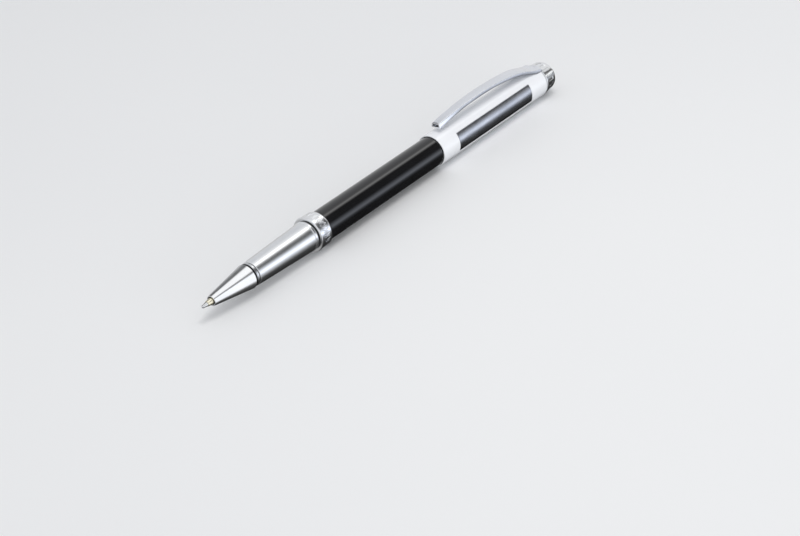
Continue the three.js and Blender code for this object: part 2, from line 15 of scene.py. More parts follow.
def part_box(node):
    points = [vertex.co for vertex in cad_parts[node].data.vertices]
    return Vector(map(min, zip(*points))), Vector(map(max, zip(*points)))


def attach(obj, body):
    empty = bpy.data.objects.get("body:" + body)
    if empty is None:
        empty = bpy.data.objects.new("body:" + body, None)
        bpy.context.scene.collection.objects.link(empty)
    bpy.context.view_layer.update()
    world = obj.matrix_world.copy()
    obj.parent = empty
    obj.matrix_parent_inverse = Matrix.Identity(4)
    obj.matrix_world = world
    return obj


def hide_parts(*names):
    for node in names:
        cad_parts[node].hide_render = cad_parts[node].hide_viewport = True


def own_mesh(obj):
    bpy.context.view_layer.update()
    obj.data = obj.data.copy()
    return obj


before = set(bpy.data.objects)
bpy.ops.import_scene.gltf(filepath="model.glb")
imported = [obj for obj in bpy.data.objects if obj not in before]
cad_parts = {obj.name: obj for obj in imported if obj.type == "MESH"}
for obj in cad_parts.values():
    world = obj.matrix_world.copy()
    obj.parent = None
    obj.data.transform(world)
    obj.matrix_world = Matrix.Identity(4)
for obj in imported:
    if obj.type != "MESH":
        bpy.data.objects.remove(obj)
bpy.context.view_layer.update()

# ---------------------------------------------------------------- frame

MM = 0.001
TIP_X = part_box("writing_ball")[0].x
AXIS_Z = (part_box("barrel_tube")[0].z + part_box("barrel_tube")[1].z) / 2
CAD_SIDES = 24
# The CAD's turned pieces are polygons with their corners on the stated radius. A round surface
# midway between those corners and the flats keeps the same size.
ROUND = (1 + math.cos(math.pi / CAD_SIDES)) / 2
SIDES = 144


def at(station, radius, angle):
    """The point in the row frame at a station, radius and angle."""
    r = radius * ROUND
    return (
        TIP_X + station * MM,
        -r * math.sin(angle) * MM,
        AXIS_Z + r * math.cos(angle) * MM,
    )


# ---------------------------------------------------------------- dimensions shared by pieces

THREAD_PITCH = 0.75
THREAD_FRONT = 43.0
THREAD_REAR = 47.5
MALE_ROOT = 3.42
MALE_CREST = 3.72
THREAD_CLEARANCE = 0.08

CAP_RADIUS = 5.03
CAP_LIP = 98.15
CAP_REAR = 149.9
PANEL_FRONT = 105.7
PANEL_REAR = 141.7
PANEL_GAP = 0.08
PANEL_RECESS = 0.24
PANEL_UNDERSIDE = 4.81
PANEL_START = math.radians(48.5)
PANEL_END = math.radians(115.5)

CLIP_FREE = 101.2
CLIP_ROOT = 149.85
CLIP_CROWN = 118.0
CLIP_FLARE = 122.0
CLIP_FREE_DEPTH = 1.45
CLIP_DEPTH = 1.0
CLIP_ROOT_DEPTH = 1.2
CLIP_ROOT_FRONT = 134.0
CLIP_ROOT_TAPER = 2.9
CLIP_FOOT_FRONT = 140.0
CLIP_FOOT = 147.0
CLIP_FOOT_LENGTH = 3.5
CLIP_FOOT_DROP = 0.5
CLIP_PLATE = 0.38
CLIP_LIP = 0.3
CLIP_HALF_WIDTH = 1.2
CLIP_WIDENING = 0.42
CLIP_FLARING = 1.33
CLIP_LEAN = 0.14
CLIP_FREE_LEAN = 0.24
CLIP_LEAN_LENGTH = 13
CLIP_CROWNING = 0.08
CLIP_SEAT_GAP = 0.12
CLIP_CHANNEL_REAR = 144.0
NOTCH_FRONT = 143.0
NOTCH_FLOOR = 3.98
NOTCH_GAP = 0.05


# ---------------------------------------------------------------- mesh helpers

def smoothstep(x, low, high):
    t = min(1.0, max(0.0, (x - low) / (high - low)))
    return t * t * (3 - 2 * t)


def new_object(name, verts, faces, normals=None, sharp=None):
    """A smooth-shaded mesh object. Normals are one per vertex, and sharp is the angle in degrees past which
    edges stay sharp."""
    mesh = bpy.data.meshes.new(name)
    mesh.from_pydata(verts, [], faces)
    mesh.validate()
    mesh.shade_smooth()
    if normals is not None:
        mesh.normals_split_custom_set_from_vertices(normals)
    if sharp is not None:
        mesh.set_sharp_from_angle(angle=math.radians(sharp))
    obj = bpy.data.objects.new(name, mesh)
    bpy.context.scene.collection.objects.link(obj)
    return obj


def filleted(outline, size, steps, closed):
    """The outline with each corner rounded. A third value on a point overrides the fillet's size."""
    pts = [(Vector(p[:2]), p[2] if len(p) > 2 else size) for p in outline]
    count = len(pts)
    out = []
    for i, (p, wanted) in enumerate(pts):
        if not closed and i in (0, count - 1):
            out.append(p)
            continue
        before = pts[i - 1][0] - p
        after = pts[(i + 1) % count][0] - p
        turn = math.pi - before.angle(after)
        if wanted <= 0 or turn < math.radians(8):
            out.append(p)
            continue
        cut = min(wanted * math.tan(turn / 2), 0.42 * before.length, 0.42 * after.length)
        start = p + before.normalized() * cut
        end = p + after.normalized() * cut
        count_here = max(2, round(steps * turn / (math.pi / 2)))
        for k in range(count_here + 1):
            t = k / count_here
            out.append(start * (1 - t) ** 2 + p * 2 * t * (1 - t) + end * t * t)
    return out


def profile_normals(pts, closed):
    """One outward normal per outline point, in which the longer neighbour counts more."""
    count = len(pts)
    normals = []
    for i, p in enumerate(pts):
        total = Vector((0, 0))
        for j, k in ((i - 1, i), (i, i + 1)):
            if not closed and (j < 0 or k > count - 1):
                continue
            step = pts[k % count] - pts[j % count]
            if step.length > 1e-9:
                total += Vector((-step.y, step.x)) * math.sqrt(step.length)
        normals.append(total.normalized())
    return normals


def lathe(name, outline, fillet=0.05, steps=4, sides=SIDES, closed=True, field=None, angles=None):
    """A turned piece. Its outline closes on itself, or else starts and ends on the axis. The outer side runs
    rearwards. A field gives the radius of an outline point from its station, radius and angle."""
    pts = filleted(outline, fillet, steps, closed)
    if angles is None:
        angles = [2 * math.pi * j / sides for j in range(sides)]
    sides = len(angles)
    slopes = profile_normals(pts, closed)
    verts, normals, rings = [], [], []
    for (s, r), n in zip(pts, slopes):
        if r < 1e-6:
            rings.append([len(verts)] * sides)
            verts.append(at(s, 0, 0))
            normals.append((math.copysign(1, n.x), 0, 0))
            continue
        rings.append(list(range(len(verts), len(verts) + sides)))
        for a in angles:
            verts.append(at(s, field(s, r, a) if field else r, a))
            normals.append((n.x, -n.y * math.sin(a), n.y * math.cos(a)))
    faces = []
    spans = len(pts) if closed else len(pts) - 1
    for i in range(spans):
        low, high = rings[i], rings[(i + 1) % len(pts)]
        for j in range(sides):
            k = (j + 1) % sides
            corners = [low[j], low[k], high[k], high[j]]
            faces.append(tuple(dict.fromkeys(corners)))
    if field is None:
        return new_object(name, verts, faces, normals)
    return new_object(name, verts, faces, sharp=40)


def applied(obj):
    """The object with its modifiers built into its mesh."""
    bpy.context.view_layer.update()
    graph = bpy.context.evaluated_depsgraph_get()
    mesh = bpy.data.meshes.new_from_object(obj.evaluated_get(graph), depsgraph=graph)
    obj.modifiers.clear()
    obj.data = mesh
    return obj


def cut(obj, cutter, operation="DIFFERENCE"):
    """Joins or cuts obj with another object, which is used up."""
    modifier = obj.modifiers.new("cut", "BOOLEAN")
    modifier.operation = operation
    modifier.solver = "EXACT"
    modifier.object = cutter
    applied(obj)
    bpy.data.objects.remove(cutter)
    return obj


def soften(obj, width, segments=2, angle=35):
    """Rounds the sharp edges of obj and evens its shading."""
    bevel = obj.modifiers.new("bevel", "BEVEL")
    bevel.width = width * MM
    bevel.segments = segments
    bevel.limit_method = "ANGLE"
    bevel.angle_limit = math.radians(angle)
    bevel.use_clamp_overlap = True
    weighted = obj.modifiers.new("normals", "WEIGHTED_NORMAL")
    weighted.keep_sharp = True
    applied(obj)
    return obj


def turn_faces_out(obj):
    """Makes every face of a closed mesh look outwards, and shades it smooth."""
    work = bmesh.new()
    work.from_mesh(obj.data)
    bmesh.ops.recalc_face_normals(work, faces=work.faces)
    work.to_mesh(obj.data)
    work.free()
    obj.data.shade_smooth()


def loft(name, sections):
    """A closed body through sections, which are rings of points of the same length, in the row frame."""
    verts = [p for ring in sections for p in ring]
    n = len(sections[0])
    faces = []
    for i in range(len(sections) - 1):
        for j in range(n):
            k = (j + 1) % n
            faces.append((i * n + j, i * n + k, (i + 1) * n + k, (i + 1) * n + j))
    faces.append(tuple(reversed(range(n))))
    faces.append(tuple(range(len(verts) - n, len(verts))))
    obj = new_object(name, verts, faces)
    turn_faces_out(obj)
    return obj


# ---------------------------------------------------------------- material helpers

class Nodes:
    """Builds one material's nodes. Inputs may be numbers, colours or other nodes' output sockets."""

    def __init__(self, name):
        self.material = bpy.data.materials.new(name)
        self.material.use_nodes = True
        self.tree = self.material.node_tree
        self.shader = next(n for n in self.tree.nodes if n.type == "BSDF_PRINCIPLED")

    def add(self, kind, inputs=None, **settings):
        node = self.tree.nodes.new(kind)
        for key, value in settings.items():
            setattr(node, key, value)
        for key, value in (inputs or {}).items():
            self.feed(node.inputs[key], value)
        return node

    def feed(self, socket, value):
        if isinstance(value, bpy.types.NodeSocket):
            self.tree.links.new(value, socket)
        else:
            socket.default_value = value

    def math(self, operation, a, b=0.0):
        return self.add("ShaderNodeMath", {0: a, 1: b}, operation=operation).outputs[0]

    def pen_place(self):
        """Station along the pen and radius from its axis, in millimetres."""
        where = self.add("ShaderNodeTexCoord").outputs["Object"]
        split = self.add("ShaderNodeSeparateXYZ", {0: where}).outputs
        up = self.math("SUBTRACT", split[2], AXIS_Z)
        station = self.math("MULTIPLY", self.math("SUBTRACT", split[0], TIP_X), 1 / MM)
        across = self.math("MULTIPLY", split[1], split[1])
        square = self.math("MULTIPLY_ADD", up, up)
        self.feed(square.node.inputs[2], across)
        radius = self.math("MULTIPLY", self.math("SQRT", square), 1 / MM)
        return station, radius

    def noise(self, along, round_, out, detail=3.0, roughness=0.55):
        """Noise on the pen's surface, with its number of cycles per millimetre along it and across it."""
        where = self.add("ShaderNodeTexCoord").outputs["Object"]
        scaled = self.add(
            "ShaderNodeVectorMath",
            {0: where, 1: (along / MM, round_ / MM, out / MM)},
            operation="MULTIPLY",
        ).outputs[0]
        inputs = {"Vector": scaled, "Scale": 1.0, "Detail": detail, "Roughness": roughness}
        return self.add("ShaderNodeTexNoise", inputs).outputs["Fac"]

    def ramp(self, value, stops):
        """A colour for each value. Stops are (place, colour), with a number for a grey."""
        node = self.add("ShaderNodeValToRGB", {0: value})
        band = node.color_ramp
        while len(band.elements) < len(stops):
            band.elements.new(0.5)
        for element, (place, colour) in zip(band.elements, stops):
            element.position = place
            element.color = (*colour, 1) if hasattr(colour, "__len__") else (colour,) * 3 + (1,)
        return node.outputs["Color"]

    def spread(self, value, low, high):
        """A noise value mapped from its usual middle range to low..high."""
        node = self.add("ShaderNodeMapRange", {0: value, 1: 0.3, 2: 0.7, 3: low, 4: high})
        return node.outputs[0]

    def bump(self, height, distance):
        """A normal for a relief of the given depth in millimetres."""
        inputs = {"Height": height, "Distance": distance * MM, "Strength": 1.0}
        return self.add("ShaderNodeBump", inputs).outputs["Normal"]

    def finish(self, **sockets):
        for key, value in sockets.items():
            name = key.replace("_", " ")
            self.feed(self.shader.inputs[name], (*value, 1) if isinstance(value, tuple) else value)
        return self.material


def polished_metal(name, dark, light, rough, grain, grain_depth, done=True):
    """Plated or ground metal. Grain is the fineness of its polishing lines per millimetre, along and round
    the pen. The colour drifts slightly, and faint smudges change its gloss."""
    n = Nodes(name)
    drift = n.noise(0.11, 0.3, 0.3, detail=2.0)
    colour = n.ramp(n.spread(drift, 0.0, 1.0), [(0.0, dark), (1.0, light)])
    smudge = n.spread(n.noise(0.35, 0.5, 0.5, detail=4.0, roughness=0.65), rough[0], rough[1])
    lines = n.noise(grain[0], grain[1], grain[1], detail=2.0, roughness=0.6)
    fine = n.math("MULTIPLY_ADD", lines, 0.05)
    n.feed(fine.node.inputs[2], smudge)
    material = n.finish(
        Base_Color=colour,
        Metallic=1.0,
        Roughness=fine,
        Normal=n.bump(lines, grain_depth),
    )
    return material if done else n


GROOVE_FRONT = 17.7
GROOVE_RADIUS = 3.42
# Painted shade: a near-black colour laid on the chrome in the groove between the nose and its trim ring.
GROOVE_SHADE_COLOUR = (0.03, 0.03, 0.033, 1)


def nose_metal(name, dark, light, rough, grain, grain_depth):
    """Plated metal with painted shade in its rear groove, behind GROOVE_FRONT and inside GROOVE_RADIUS."""
    n = polished_metal(name, dark, light, rough, grain, grain_depth, done=False)
    station, radius = n.pen_place()
    ahead = n.add("ShaderNodeMapRange", {0: station, 1: GROOVE_FRONT, 2: GROOVE_FRONT - 0.05}).outputs[0]
    outside = n.add("ShaderNodeMapRange", {0: radius, 1: GROOVE_RADIUS, 2: GROOVE_RADIUS + 0.06}).outputs[0]
    # Behind GROOVE_FRONT and inside GROOVE_RADIUS the chrome's colour gives way to the painted groove shade.
    tint = n.add("ShaderNodeMix", {0: n.math("MAXIMUM", ahead, outside)}, data_type="RGBA")
    n.feed(tint.inputs[6], GROOVE_SHADE_COLOUR)
    n.feed(tint.inputs[7], n.shader.inputs["Base Color"].links[0].from_socket)
    return n.finish(Base_Color=tint.outputs[2])


def lacquer(name, dark, light, rough, peel_depth, coat, under):
    """Gloss lacquer with a faint orange peel and slight haze. Under is the gloss beneath its clear coat."""
    n = Nodes(name)
    colour = n.ramp(n.noise(0.15, 0.4, 0.4, detail=3.0), [(0.3, dark), (0.7, light)])
    haze = n.spread(n.noise(0.5, 0.9, 0.9, detail=5.0, roughness=0.7), rough[0], rough[1])
    peel = n.noise(0.9, 0.9, 0.9, detail=1.0)
    normal = n.bump(peel, peel_depth)
    n.feed(n.shader.inputs["Coat Normal"], normal)
    return n.finish(
        Base_Color=colour,
        Roughness=haze,
        IOR=1.5,
        Specular_IOR_Level=under,
        Coat_Weight=coat,
        Coat_Roughness=0.04,
        Normal=normal,
    )


def plastic(name, dark, light, rough, texture, depth):
    """Moulded plastic with a fine sparked texture."""
    n = Nodes(name)
    colour = n.ramp(n.noise(0.6, 0.6, 0.6, detail=4.0), [(0.3, dark), (0.7, light)])
    sparks = n.noise(texture, texture, texture, detail=3.0, roughness=0.7)
    return n.finish(
        Base_Color=colour,
        Roughness=n.spread(sparks, rough[0], rough[1]),
        IOR=1.47,
        Normal=n.bump(sparks, depth),
    )


# ---------------------------------------------------------------- materials

STEEL = polished_metal(
    "ground_steel", (0.60, 0.61, 0.62), (0.72, 0.73, 0.74), (0.16, 0.26), (20.0, 0.6), 0.002)
WIRE = polished_metal("drawn_wire", (0.50, 0.51, 0.53), (0.66, 0.67, 0.69), (0.22, 0.34), (4.0, 4.0), 0.002)
CARBIDE = polished_metal(
    "writing_ball_metal", (0.55, 0.55, 0.57), (0.74, 0.74, 0.76), (0.12, 0.3), (30.0, 30.0), 0.001)
BRASS = polished_metal(
    "turned_brass", (0.74, 0.55, 0.27), (0.88, 0.71, 0.40), (0.18, 0.28), (16.0, 0.5), 0.003)
PALE_BRASS = polished_metal(
    "pale_brass", (0.80, 0.74, 0.56), (0.90, 0.85, 0.68), (0.18, 0.28), (16.0, 0.5), 0.003)
GRIP_CHROME = polished_metal(
    "grip_chrome", (0.80, 0.81, 0.83), (0.86, 0.87, 0.88), (0.13, 0.19), (14.0, 0.3), 0.0015)
NOSE_CHROME = nose_metal(
    "nose_chrome", (0.80, 0.81, 0.83), (0.86, 0.87, 0.88), (0.13, 0.19), (14.0, 0.3), 0.0015)
CLIP_CHROME = polished_metal(
    "clip_chrome", (0.825, 0.84, 0.88), (0.87, 0.885, 0.925), (0.15, 0.21), (0.6, 9.0), 0.0010)
FINIAL_CHROME = polished_metal(
    "finial_chrome", (0.84, 0.85, 0.87), (0.90, 0.91, 0.92), (0.10, 0.15), (10.0, 0.3), 0.001)
PANEL = polished_metal(
    "panel_metal", (0.42, 0.43, 0.46), (0.52, 0.53, 0.56), (0.17, 0.24), (0.15, 16.0), 0.0015)
BLACK = lacquer(
    "black_lacquer", (0.0035, 0.0035, 0.004), (0.006, 0.006, 0.007), (0.10, 0.20), 0.0012, 1.0, 0.05)
WHITE = lacquer("white_lacquer", (0.885, 0.90, 0.935), (0.90, 0.915, 0.945), (0.20, 0.26), 0.0008, 0.5, 0.3)
TAIL = plastic("tail_plastic", (0.012, 0.012, 0.014), (0.022, 0.022, 0.025), (0.18, 0.30), 3.0, 0.002)
DARK = plastic("dark_plastic", (0.035, 0.035, 0.038), (0.06, 0.06, 0.066), (0.42, 0.58), 6.0, 0.004)
WASHER = plastic("washer_plastic", (0.012, 0.012, 0.013), (0.026, 0.026, 0.028), (0.35, 0.5), 6.0, 0.004)
LINER = plastic("liner_plastic", (0.06, 0.06, 0.066), (0.10, 0.10, 0.11), (0.45, 0.6), 4.0, 0.005)
TUBE = plastic("refill_plastic", (0.66, 0.68, 0.70), (0.76, 0.78, 0.80), (0.24, 0.34), 2.0, 0.001)
FIBRE = plastic("ink_fibre", (0.012, 0.016, 0.06), (0.04, 0.055, 0.16), (0.85, 0.98), 9.0, 0.02)

RING_CHROME = polished_metal(
    "ring_chrome", (0.82, 0.83, 0.85), (0.88, 0.89, 0.90), (0.11, 0.17), (12.0, 0.4), 0.0015)


def piece(obj, material, body, slot, *nodes):
    """Dresses a piece in its material, gives it its body and hides the CAD nodes that it stands for. The slot
    argument is not used.
    """
    obj.data.materials.clear()
    obj.data.materials.append(material)
    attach(obj, body)
    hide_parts(*nodes)
    return obj


# ---------------------------------------------------------------- refill

def ball_outline(radius, steps):
    pts = []
    for i in range(steps + 1):
        t = math.pi * (1 - i / steps)
        pts.append((radius + radius * math.cos(t), radius * math.sin(t)))
    return pts


piece(lathe("tip_ball", ball_outline(0.35, 20), fillet=0, sides=40, closed=False),
      CARBIDE, "ball", "steel", "writing_ball")

# The socket's rim is rolled over the ball, and a fine ring is turned behind it.
piece(lathe("tip_socket", [
    (0.22, 0.395), (0.62, 0.47), (0.66, 0.445), (0.76, 0.455), (0.80, 0.49), (1.8, 0.65), (1.8, 0.55),
    (6.0, 0.55), (6.0, 0.15), (0.75, 0.15), (0.55, 0.34), (0.35, 0.375), (0.22, 0.345),
], fillet=0.02, sides=64), STEEL, "refill", "steel", "refill_point")

piece(lathe("tip_holder", [
    (1.85, 0.74), (3.6, 1.0), (9.0, 1.05), (9.0, 0.9), (14.0, 0.9), (14.0, 0.6), (1.85, 0.6),
], fillet=0.05, sides=64), PALE_BRASS, "refill", "brass", "refill_nib_holder")

piece(lathe("refill_nose", [
    (9.05, 1.25), (17.7, 1.95), (24.05, 2.2), (24.05, 2.95), (24.6, 3.0), (24.6, 2.7), (28.5, 2.7),
    (28.5, 0.62), (14.1, 0.62), (14.1, 0.95), (9.05, 0.95),
]), DARK, "refill", "dark_plastic", "refill_front_plug")

piece(lathe("refill_wick_rod", [(6.1, 0), (6.1, 0.5), (31.5, 0.5), (31.5, 0)], sides=48, closed=False),
      FIBRE, "refill", "ink_fibre", "refill_wick")

piece(lathe("refill_fibre", [
    (28.6, 2.6), (105.8, 2.6), (105.8, 1.0), (31.7, 1.0), (31.7, 0.62), (28.6, 0.62),
], sides=72), FIBRE, "refill", "ink_fibre", "refill_ink_reservoir")

piece(lathe("refill_barrel", [(24.65, 3.0), (109.5, 3.0), (109.5, 2.72), (24.65, 2.72)]),
      TUBE, "refill", "refill_plastic", "refill_tube")

piece(lathe("refill_cap", [
    (106.0, 2.5), (106.3, 2.7), (109.55, 2.7), (109.55, 3.0), (110.2, 3.0), (110.5, 2.75), (110.5, 0.4),
    (106.0, 0.4),
]), DARK, "refill", "dark_plastic", "refill_end_plug")


# ---------------------------------------------------------------- spring

SPRING_SEAT = 116.0
REFILL_END = 110.5


def coil(name, front, rear, radius, wire, turns, steps=36, sides=12):
    """A helical wire whose ends are cut square."""
    sections = []
    count = turns * steps
    for i in range(count + 1):
        t = i / count
        a = 2 * math.pi * turns * t
        s = front + wire / 2 + (rear - front - wire) * t
        ring = []
        for j in range(sides):
            b = 2 * math.pi * j / sides
            ring.append(at(s + wire / 2 * math.sin(b), radius + wire / 2 * math.cos(b), a))
        sections.append(ring)
    return loft(name, sections)


spring = piece(coil("return_spring", REFILL_END + 0.05, SPRING_SEAT - 0.05, 2.0, 0.4, 5),
               WIRE, "barrel", "spring_steel", "refill_spring")
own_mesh(spring)

# ---------------------------------------------------------------- grip section

piece(lathe("nose", [
    (3.6, 1.52), (17.6, 3.62), (17.7, 3.5), (17.7, 3.0, 0), (24.0, 3.0), (24.0, 2.4), (17.7, 2.3),
    (12.0, 1.8), (9.0, 1.42), (3.6, 1.2),
], fillet=0.09), NOSE_CHROME, "section", "grip_chrome", "nose_cone")

piece(lathe("nose_ring", [
    (18.15, 3.34, 0.06), (18.32, 3.47, 0.15), (19.04, 3.49, 0.15), (19.22, 3.38, 0.06), (19.22, 3.02),
    (18.15, 3.02),
], fillet=0.03), NOSE_CHROME, "section", "grip_chrome", "nose_trim_ring")

piece(lathe("grip", [
    (19.3, 3.46), (19.42, 3.58), (41.12, 4.39), (41.2, 4.33, 0.02), (41.36, 4.33, 0.02),
    (41.46, 4.49, 0.1), (42.1, 4.49, 0.1), (42.3, 4.4), (42.3, 3.8), (33.0, 3.8), (33.0, 3.15),
    (24.3, 3.15), (24.3, 3.02), (19.3, 3.02),
], fillet=0.06), GRIP_CHROME, "section", "grip_chrome", "grip_shell")


def thread_radius(station, angle, root, crest, root_half, crest_half):
    """Radius of the screw's surface, which is right-handed and starts at THREAD_FRONT."""
    phase = (angle + math.pi / 2) / (2 * math.pi) - 0.5 / CAD_SIDES
    offset = (station - THREAD_FRONT) / THREAD_PITCH - phase
    distance = abs(offset - round(offset)) * THREAD_PITCH
    return crest + (root - crest) * smoothstep(distance, crest_half * 0.6, root_half + crest_half * 0.4)


def male_thread(station, radius, angle):
    if radius < MALE_ROOT - 0.05 or not THREAD_FRONT <= station <= THREAD_REAR:
        return radius
    ridge = thread_radius(station, angle, MALE_ROOT, MALE_CREST, 0.2, 0.1)
    fade = smoothstep(station, THREAD_FRONT, THREAD_FRONT + 0.5)
    fade *= 1 - smoothstep(station, THREAD_REAR - 0.5, THREAD_REAR)
    return radius + (ridge - MALE_ROOT) * fade


def female_thread(station, radius, angle):
    rear = THREAD_REAR + 0.5
    if not radius < MALE_ROOT + 0.12 or station > rear + 0.01:
        return radius
    groove = thread_radius(station, angle, MALE_ROOT, MALE_CREST + THREAD_CLEARANCE, 0.3, 0.18)
    return max(radius, groove)


def run(front, rear, radius, step):
    """Closely spaced outline points along a thread."""
    count = round(abs(rear - front) / step)
    return [(front + (rear - front) * i / count, radius, 0) for i in range(count + 1)]


piece(lathe("coupling", [
    (33.1, 3.78), (42.25, 3.78), (42.25, 3.4), *run(42.6, 47.9, 3.4, 0.05), (49.0, 3.3), (49.0, 3.12),
    (33.1, 3.12),
], field=male_thread, sides=96), BRASS, "section", "brass", "section_coupling")

piece(lathe("joint_washer", [(42.35, 4.4), (42.65, 4.4), (42.65, 3.55), (42.35, 3.55)], fillet=0.06),
      WASHER, "washer", "washer_plastic", "section_washer")

# ---------------------------------------------------------------- barrel

BAND_RADIUS = 5.15
RING_MARKS = 22
MARK_FRONT = 43.7
MARK_REAR = 46.5
MARK_DEPTH = 0.05


def ring_engraving(station, radius, angle):
    """A plain row of upright lozenges with a small bar between each two, engraved round the band."""
    if not MARK_FRONT < station < MARK_REAR or abs(radius - BAND_RADIUS) > 0.02:
        return radius
    turn = angle * RING_MARKS / (2 * math.pi)
    u = (turn - round(turn)) * 2 * math.pi * BAND_RADIUS / RING_MARKS
    v = station - (MARK_FRONT + MARK_REAR) / 2
    lozenge = 1 - abs(u) / 0.5 - abs(v) / 1.25
    turn += 0.5
    u = (turn - round(turn)) * 2 * math.pi * BAND_RADIUS / RING_MARKS
    bar = min(1 - abs(u) / 0.11, 1 - abs(v) / 0.95)
    return radius - MARK_DEPTH * max(smoothstep(lozenge, 0.0, 0.12), smoothstep(bar, 0.0, 0.25))


piece(lathe("joint_ring", [
    (42.7, 5.2, 0.06), (42.85, 5.32, 0.1), (43.22, 5.32, 0.08), (43.3, 5.15, 0.03),
    *run(43.6, 46.6, BAND_RADIUS, 0.06), (46.95, 5.15, 0.4), (47.27, 5.0, 0.3), (47.5, 4.8, 0.1),
    (47.5, 4.15), (42.7, 4.15),
], fillet=0.05, sides=528, field=ring_engraving), RING_CHROME, "barrel", "ring_chrome", "centre_ring")

piece(lathe("barrel_skin", [
    (47.55, 4.57), (110.9, 4.57), (111.3, 4.32), (111.3, 4.15), (47.55, 4.15),
], fillet=0.06), BLACK, "barrel", "black_lacquer", "barrel_tube")

piece(lathe("joint_bush", [
    (42.75, 4.13), (55.0, 4.13), (55.0, 3.6), (48.0, 3.6, 0), *run(48.0, 42.75, 3.5, 0.05),
], field=female_thread, sides=96), BRASS, "barrel", "brass", "barrel_thread_bush")

piece(lathe("tail", [
    (116.0, 0), (116.0, 2.45), (112.2, 2.45), (112.2, 3.15), (106.0, 3.15), (106.0, 4.13),
    (111.25, 4.13), (111.3, 4.08), (116.7, 4.08, 0.5), (117.5, 3.28, 0.5), (117.5, 0),
], closed=False), TAIL, "barrel", "tail_plastic", "tail_plug")

# ---------------------------------------------------------------- clip's line

CLIP_LINE = [Vector(p) for p in ((CLIP_FREE, 7.8), (116.8, 10.04), (136.5, 9.99), (CLIP_ROOT, 5.05))]


def clip_samples(count):
    """Points down the clip's top line, as station and height above the pen's axis."""
    a, b, c, d = CLIP_LINE
    pts = []
    for i in range(count + 1):
        t = i / count
        p = a * (1 - t) ** 3 + b * 3 * t * (1 - t) ** 2 + c * 3 * t * t * (1 - t) + d * t ** 3
        foot = smoothstep(p.x, CLIP_FOOT_FRONT, CLIP_FOOT)
        foot *= 1 - smoothstep(p.x, CLIP_FOOT, CLIP_FOOT + CLIP_FOOT_LENGTH)
        pts.append(Vector((p.x, p.y - CLIP_FOOT_DROP * foot)))
    return pts


def clip_half(station):
    """Half width across the clip's top: it widens slowly to its crown, and flares towards its root."""
    widening = min(1.0, max(0.0, station - CLIP_FREE) / (CLIP_CROWN - CLIP_FREE))
    flare = max(0.0, station - CLIP_FLARE) / (CLIP_ROOT - CLIP_FLARE)
    return CLIP_HALF_WIDTH + CLIP_WIDENING * widening + CLIP_FLARING * flare ** 1.8


def clip_lean(station):
    """How far the clip's side walls lean outwards. They lean most at its free end."""
    extra = 1 - smoothstep(station, CLIP_FREE, CLIP_FREE + CLIP_LEAN_LENGTH)
    return CLIP_LEAN + CLIP_FREE_LEAN * extra


def clip_bottom(station, top):
    """Height of the clip's lower edge. It is deepest at its free end and at its root."""
    depth = CLIP_DEPTH + (CLIP_FREE_DEPTH - CLIP_DEPTH) * (1 - smoothstep(station, CLIP_FREE, CLIP_CROWN))
    rooted = smoothstep(station, CLIP_ROOT_FRONT, CLIP_ROOT - CLIP_ROOT_TAPER)
    depth += (CLIP_ROOT_DEPTH - CLIP_DEPTH) * rooted
    return max(top - depth, NOTCH_FLOOR + CLIP_SEAT_GAP)


def block(name, sections):
    """A bar along the pen. Each section is given as (station, low, high, half width), in millimetres."""
    rings = []
    for s, low, high, half in sections:
        corners = ((-half, low), (half, low), (half, high), (-half, high))
        rings.append([(TIP_X + s * MM, y * MM, AXIS_Z + z * MM) for y, z in corners])
    return loft(name, rings)


def notch_cutter():
    """The space round the clip's root, which follows its underside."""
    high = 3 * CAP_RADIUS
    sections = []
    for p in clip_samples(60):
        if p.x > NOTCH_FRONT:
            low = clip_bottom(p.x, p.y) - CLIP_SEAT_GAP
            sections.append((p.x, low, high, clip_half(p.x) + clip_lean(p.x) + NOTCH_GAP))
    sections.append((CAP_REAR + 1, sections[-1][1], high, sections[-1][3]))
    return block("notch", sections)


# ---------------------------------------------------------------- cap

EDGE = 0.035


def ramped(x, low, high):
    """0 outside low..high and 1 inside, with steep ramps EDGE wide on each side of both limits."""
    return smoothstep(x, low - EDGE, low + EDGE) * (1 - smoothstep(x, high - EDGE, high + EDGE))


def edge_lines(place, scale=1.0):
    """Grid lines that follow a steep wall."""
    return [place + EDGE * k * scale for k in (-2.5, -1, -0.5, 0, 0.5, 1, 2.5)]


def cap_recess(station, radius, angle):
    """The shallow recesses that hold the panels."""
    if radius < CAP_RADIUS - 0.01:
        return radius
    a = abs((angle + math.pi) % (2 * math.pi) - math.pi) * CAP_RADIUS
    along = ramped(station, PANEL_FRONT - PANEL_GAP, PANEL_REAR + PANEL_GAP)
    round_ = ramped(a, PANEL_START * CAP_RADIUS - PANEL_GAP, PANEL_END * CAP_RADIUS + PANEL_GAP)
    return radius - PANEL_RECESS * along * round_


def cap_angles():
    angles = [2 * math.pi * j / SIDES for j in range(SIDES)]
    special = []
    for edge in (PANEL_START - PANEL_GAP / CAP_RADIUS, PANEL_END + PANEL_GAP / CAP_RADIUS):
        for sign in (-1, 1):
            special += [(sign * x) % (2 * math.pi) for x in edge_lines(edge, 1 / CAP_RADIUS)]
    clear = 0.4 * 2 * math.pi / SIDES
    kept = [a for a in angles if all(abs(a - x) > clear for x in special)]
    return sorted(kept + special)


def cap_shell():
    outer = [(CAP_LIP, CAP_RADIUS - 0.12, 0.05), (CAP_LIP + 0.14, CAP_RADIUS, 0.1)]
    for place in (PANEL_FRONT - PANEL_GAP, PANEL_REAR + PANEL_GAP):
        outer += [(s, CAP_RADIUS, 0) for s in edge_lines(place)]
    rounding = 0.55
    steps = 10
    for i in range(steps + 1):
        t = math.pi / 2 * (1 - i / steps)
        outer.append((CAP_REAR - rounding * (1 - math.cos(t)), CAP_RADIUS - rounding * (1 - math.sin(t)), 0))
    inner = [(CAP_REAR, 3.2), (149.4, 3.2), (149.4, 3.76), (148.65, 4.66), (CAP_LIP, 4.66)]
    return lathe("cap_body", outer + inner, field=cap_recess, angles=cap_angles())


